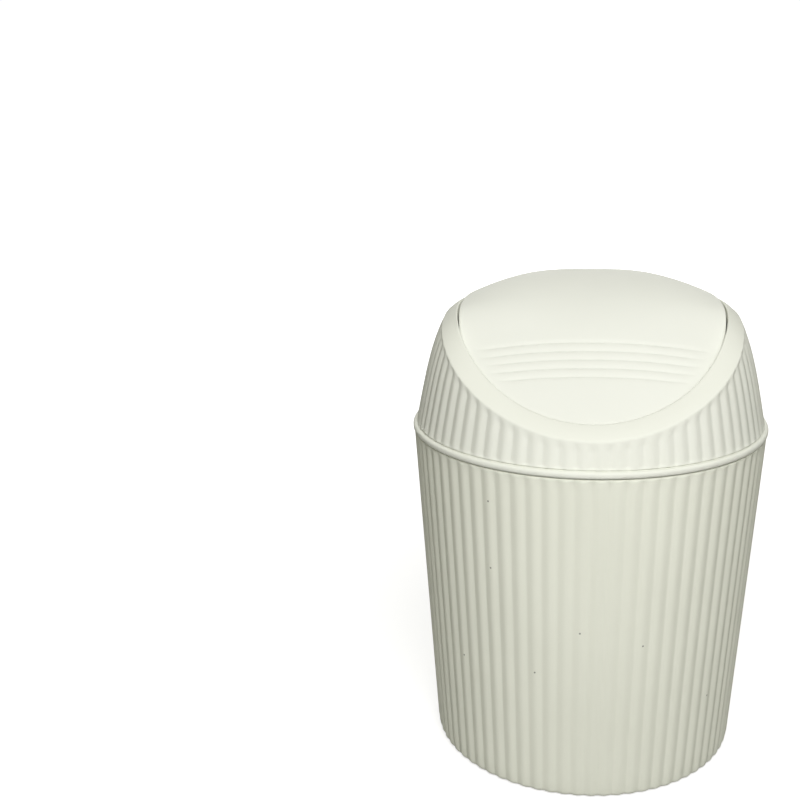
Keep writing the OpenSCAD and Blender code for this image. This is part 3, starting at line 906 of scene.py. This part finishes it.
def seamless_floor():
    """A pale floor that shows as white to the camera and still takes the bin's shadow."""
    mesh = bpy.data.meshes.new("floor")
    corners = ((-1, -1), (1, -1), (1, 1), (-1, 1))
    points = [(x * PAPER_HALF, y * PAPER_HALF, PAPER_Z) for x, y in corners]
    mesh.from_pydata(points, [], [[0, 1, 2, 3]])
    floor = bpy.data.objects.new("floor", mesh)
    bpy.context.scene.collection.objects.link(floor)
    material = bpy.data.materials.new("floor_paper")
    material.use_nodes = True
    tree = material.node_tree
    shader = tree.nodes["Principled BSDF"]
    shader.inputs["Base Color"].default_value = PAPER_GREY
    shader.inputs["Roughness"].default_value = PAPER_ROUGHNESS
    shader.inputs["Specular IOR Level"].default_value = PAPER_SHINE
    shader.inputs["Emission Color"].default_value = (1, 1, 1, 1)
    place = tree.nodes.new("ShaderNodeTexCoord").outputs["Object"]
    away = add_node(tree, "ShaderNodeVectorMath", {0: place}, operation="LENGTH").outputs["Value"]
    smooth = {"interpolation_type": "SMOOTHSTEP"}
    glow = add_range(tree, away, GLOW_FROM, GLOW_TO, GLOW_NEAR, GLOW_FAR, **smooth)
    camera_ray = tree.nodes.new("ShaderNodeLightPath").outputs["Is Camera Ray"]
    tree.links.new(add_math(tree, "MULTIPLY", camera_ray, glow), shader.inputs["Emission Strength"])
    mesh.materials.append(material)
    return floor


def studio_world():
    """Dim light from all round, and a white backdrop for the camera, for gloss and for clear parts."""
    world = bpy.data.worlds.new("studio")
    world.use_nodes = True
    tree = world.node_tree
    rays = tree.nodes.new("ShaderNodeLightPath").outputs
    seen = rays["Is Camera Ray"]
    for ray in ("Is Glossy Ray", "Is Transmission Ray"):
        seen = add_math(tree, "MAXIMUM", seen, rays[ray])
    sky = add_colour_mix(tree, seen, AMBIENT, BACKDROP)
    tree.links.new(sky, tree.nodes["Background"].inputs["Color"])
    return world


seamless_floor()
bpy.context.scene.world = studio_world()

# Soft boxes: name, place and size in metres, power in watts. All are turned towards the bin.
LAMP_AIM = Vector((0.0, 0.0, 0.1))
LAMPS = (
    ("key_box", (0.05, -0.60, 0.62), (0.3, 0.3), 3.4),
    ("low_box", (0.03, -1.05, 0.30), (0.25, 0.25), 1.5),
    ("top_box", (0.05, -0.42, 0.85), (0.35, 0.3), 2.0),
    ("back_box", (0.0, 1.3, 0.45), (0.8, 0.6), 9.0),
)


def soft_lamp(name, place, size, power):
    """A rectangular soft box turned towards the bin, with no mirror image of its own."""
    lamp = bpy.data.lights.new(name, "AREA")
    lamp.shape = "RECTANGLE"
    lamp.size = size[0]
    lamp.size_y = size[1]
    lamp.energy = power
    holder = bpy.data.objects.new(name, lamp)
    bpy.context.scene.collection.objects.link(holder)
    holder.visible_glossy = False
    holder.location = place
    holder.rotation_euler = (LAMP_AIM - Vector(place)).to_track_quat("-Z", "Y").to_euler()


for lamp_name, lamp_place, lamp_size, lamp_power in LAMPS:
    soft_lamp(lamp_name, lamp_place, lamp_size, lamp_power)

# Camera as found from the photo: place and aim in millimetres, roll in degrees, the rest in pixels
CAMERA_PLACE = Vector((-14.45, -460.6, 271.06)) * MM
CAMERA_AIM = Vector((-60.82, 0.0, 126.99)) * MM
CAMERA_ROLL = math.radians(-0.878)
PHOTO_SIZE = 800
PHOTO_FOCUS = 1165.5
PHOTO_SHIFT = 40

camera_data = bpy.data.cameras.new("camera")
camera_data.sensor_width = 36
camera_data.lens = PHOTO_FOCUS / PHOTO_SIZE * camera_data.sensor_width
camera_data.clip_start = 0.01
camera_data.shift_x = -PHOTO_SHIFT / PHOTO_SIZE
camera_data.shift_y = PHOTO_SHIFT / PHOTO_SIZE
camera = bpy.data.objects.new("camera", camera_data)
bpy.context.scene.collection.objects.link(camera)
look = (CAMERA_AIM - CAMERA_PLACE).normalized()
level_turn = look.to_track_quat("-Z", "Y").to_matrix().to_4x4()
camera.matrix_world = Matrix.Translation(CAMERA_PLACE) @ level_turn @ Matrix.Rotation(CAMERA_ROLL, 4, "Z")
bpy.context.scene.camera = camera
bpy.context.scene.view_settings.view_transform = "Standard"
